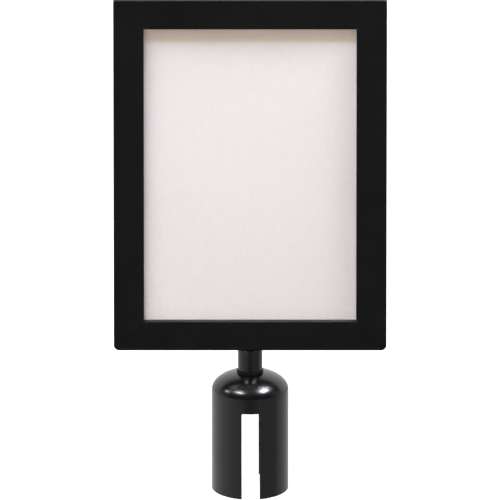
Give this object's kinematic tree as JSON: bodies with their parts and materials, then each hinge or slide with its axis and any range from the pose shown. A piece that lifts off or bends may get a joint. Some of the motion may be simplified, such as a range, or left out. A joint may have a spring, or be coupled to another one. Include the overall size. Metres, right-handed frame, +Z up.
{
  "type": "post-top sign frame",
  "caption": "Portrait sign frame with clear covers, on a short swivel neck and a domed, slotted sleeve that slips over the head of a belt post.",
  "frame": {"origin": "centre of the cap's bottom rim, in the plane that it stands on", "axes": "+Z up along the neck bolt, -Y out of the sign's front, +X to the right as the sign is read"},
  "size_m": [0.25, 0.0704, 0.4766],
  "materials": {
    "frame_coating": "satin black powder coat on extruded aluminium",
    "neck_coating": "semi-gloss black powder coat on steel",
    "cap_coating": "semi-gloss black powder coat with a fine texture, on steel",
    "corner_key": "die cast",
    "fastener": "zinc plated",
    "clear_cover": "clear polished acrylic",
    "sheet": "uncoated white paper card",
    "washer": "black nylon",
    "seat": "matte grey rubber"
  },
  "bodies": {
    "cap": {"slotted_cap": "cap_coating", "post_seat": "seat", "swivel_washer": "washer", "inner_washer": "washer"},
    "sign": {"frame_rail_left": "frame_coating", "frame_rail_right": "frame_coating", "frame_rail_bottom": "frame_coating", "frame_rail_top": "frame_coating", "corner_key_bottom_left": "corner_key", "corner_key_bottom_right": "corner_key", "corner_key_top_left": "corner_key", "corner_key_top_right": "corner_key", "key_screw_bottom_left_level": "fastener", "key_screw_bottom_left_upright": "fastener", "key_screw_bottom_right_level": "fastener", "key_screw_bottom_right_upright": "fastener", "key_screw_top_left_level": "fastener", "key_screw_top_left_upright": "fastener", "key_screw_top_right_level": "fastener", "key_screw_top_right_upright": "fastener", "neck_tube": "neck_coating", "nut_plate": "fastener", "neck_bolt": "fastener", "spring_washer": "fastener", "flat_washer": "fastener"},
    "front_cover": {"front_cover": "clear_cover"},
    "sheet": {"sign_sheet": "sheet"},
    "rear_cover": {"rear_cover": "clear_cover"}
  },
  "joints": [
    {"name": "sign_swivel", "type": "hinge", "parent": "cap", "child": "sign", "pos_m": [0, 0, 0.112], "axis": [0, 0, 1], "continuous": true},
    {"name": "front_cover_lift", "type": "slide", "parent": "sign", "child": "front_cover", "axis": [0, 0, 1], "range_m": [0, 0.31]},
    {"name": "sheet_lift", "type": "slide", "parent": "sign", "child": "sheet", "axis": [0, 0, 1], "range_m": [0, 0.31]},
    {"name": "rear_cover_lift", "type": "slide", "parent": "sign", "child": "rear_cover", "axis": [0, 0, 1], "range_m": [0, 0.31]}
  ]
}
